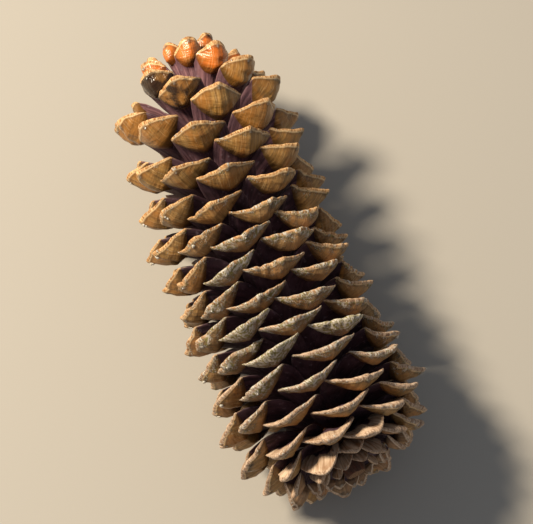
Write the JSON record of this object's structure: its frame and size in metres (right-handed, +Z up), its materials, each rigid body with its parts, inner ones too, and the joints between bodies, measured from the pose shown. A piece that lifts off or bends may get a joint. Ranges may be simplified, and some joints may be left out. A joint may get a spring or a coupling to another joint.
{
  "type": "pine cone",
  "caption": "Long, open, dry pine cone lying on its side: woody keeled scales in spirals round a gently bowed central axis with a short cut stalk.",
  "frame": {"origin": "centre of the bounding box at its base, on the surface that the cone lies on", "axes": "+Z up; +X along the cone from the cut stalk to the tip; the axis bows gently towards -Y"},
  "size_m": [0.2992, 0.1412, 0.1222],
  "materials": {
    "rachis": "dry, fibrous dark brown wood with a cut stalk end",
    "scales": "dry woody scales, ochre and tan with fine radiating lines outside and dark purple-brown towards the foot, with dried resin"
  },
  "bodies": {
    "root": {"basal_scales": "scales", "rachis": "rachis", "scales_spiral_1_group_1": "scales", "scales_spiral_1_group_2": "scales", "scales_spiral_1_group_3": "scales", "scales_spiral_1_group_4": "scales", "scales_spiral_1_group_5": "scales", "scales_spiral_1_group_6": "scales", "scales_spiral_1_group_7": "scales", "scales_spiral_1_group_8": "scales", "scales_spiral_1_group_9": "scales", "scales_spiral_2_group_1": "scales", "scales_spiral_2_group_2": "scales", "scales_spiral_2_group_3": "scales", "scales_spiral_2_group_4": "scales", "scales_spiral_2_group_5": "scales", "scales_spiral_2_group_6": "scales", "scales_spiral_2_group_7": "scales", "scales_spiral_2_group_8": "scales", "scales_spiral_2_group_9": "scales", "scales_spiral_3_group_1": "scales", "scales_spiral_3_group_2": "scales", "scales_spiral_3_group_3": "scales", "scales_spiral_3_group_4": "scales", "scales_spiral_3_group_5": "scales", "scales_spiral_3_group_6": "scales", "scales_spiral_3_group_7": "scales", "scales_spiral_3_group_8": "scales", "scales_spiral_3_group_9": "scales", "scales_spiral_4_group_1": "scales", "scales_spiral_4_group_2": "scales", "scales_spiral_4_group_3": "scales", "scales_spiral_4_group_4": "scales", "scales_spiral_4_group_5": "scales", "scales_spiral_4_group_6": "scales", "scales_spiral_4_group_7": "scales", "scales_spiral_4_group_8": "scales", "scales_spiral_4_group_9": "scales", "scales_spiral_5_group_1": "scales", "scales_spiral_5_group_2": "scales", "scales_spiral_5_group_3": "scales", "scales_spiral_5_group_4": "scales", "scales_spiral_5_group_5": "scales", "scales_spiral_5_group_6": "scales", "scales_spiral_5_group_7": "scales", "scales_spiral_5_group_8": "scales", "scales_spiral_5_group_9": "scales", "tip_scales": "scales"}
  },
  "joints": []
}
